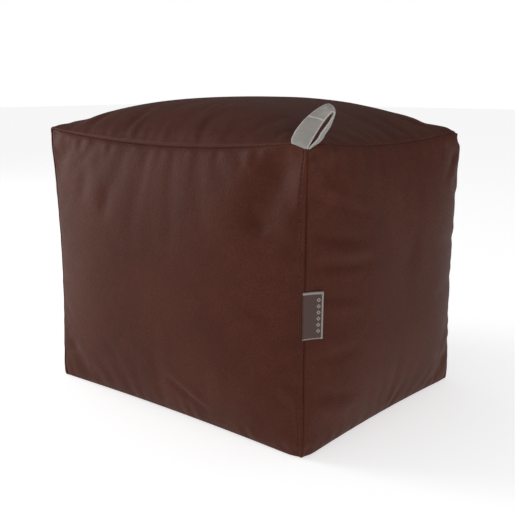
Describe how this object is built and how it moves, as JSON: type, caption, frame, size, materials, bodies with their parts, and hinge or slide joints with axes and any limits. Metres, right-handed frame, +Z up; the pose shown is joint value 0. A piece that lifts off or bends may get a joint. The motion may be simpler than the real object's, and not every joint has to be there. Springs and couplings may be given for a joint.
{
  "type": "bean bag chair",
  "caption": "Box-shaped bean bag seat in dark brown faux leather with a crowned top, lapped corner seams, a webbing carry loop, a side label and a zip under the base.",
  "frame": {"origin": "on the floor, under the middle of the seat", "axes": "+X along the wide front from left to right, +Y from front to back, +Z up"},
  "size_m": [0.5618, 0.454, 0.455],
  "materials": {
    "faux_leather": "pebbled faux leather, satin",
    "liner_cloth": "thin non-woven polypropylene cloth",
    "beads": "expanded polystyrene beads",
    "thread": "bonded polyester sewing thread",
    "webbing": "woven polypropylene webbing, 25 mm wide",
    "label_tape": "woven satin tape with a grey border",
    "zip_tape": "woven polyester zip tape",
    "zip_teeth": "moulded polyester teeth",
    "zip_metal": "gunmetal plated zinc"
  },
  "bodies": {
    "cover": {"top_panel": "faux_leather", "front_panel": "faux_leather", "right_panel": "faux_leather", "back_panel": "faux_leather", "left_panel": "faux_leather", "base_panel_front": "faux_leather", "base_panel_rear": "faux_leather", "zip_facing_front": "faux_leather", "zip_facing_rear": "faux_leather", "liner_tub": "liner_cloth", "liner_lid": "liner_cloth", "bead_fill": "beads", "corner_topstitch": "thread", "loop_root": "webbing", "label_root": "label_tape", "zip_tape_front": "zip_tape", "zip_tape_rear": "zip_tape", "zip_teeth_front": "zip_teeth", "zip_teeth_rear": "zip_teeth", "zip_stops": "zip_metal", "zip_stitching": "thread"},
    "webbing_loop": {"carry_loop": "webbing"},
    "label": {"side_label": "label_tape"},
    "slider": {"zip_slider": "zip_metal"},
    "pull": {"zip_pull": "zip_metal"}
  },
  "joints": [
    {"name": "loop_swing", "type": "hinge", "parent": "cover", "child": "webbing_loop", "pos_m": [0.25, -0.198, 0.4], "axis": [0.7071, 0.7071, 0], "range_deg": [-10, 110]},
    {"name": "label_fold", "type": "hinge", "parent": "cover", "child": "label", "pos_m": [0.24429, -0.19281, 0.191], "axis": [0, 0, -1], "range_deg": [0, 190]},
    {"name": "zip_slide", "type": "slide", "parent": "cover", "child": "slider", "axis": [-1, 0, 0], "range_m": [0, 0.31]},
    {"name": "pull_swing", "type": "hinge", "parent": "slider", "child": "pull", "pos_m": [0.158, 0, 0.00595], "axis": [0, -1, 0], "range_deg": [0, 180]}
  ]
}
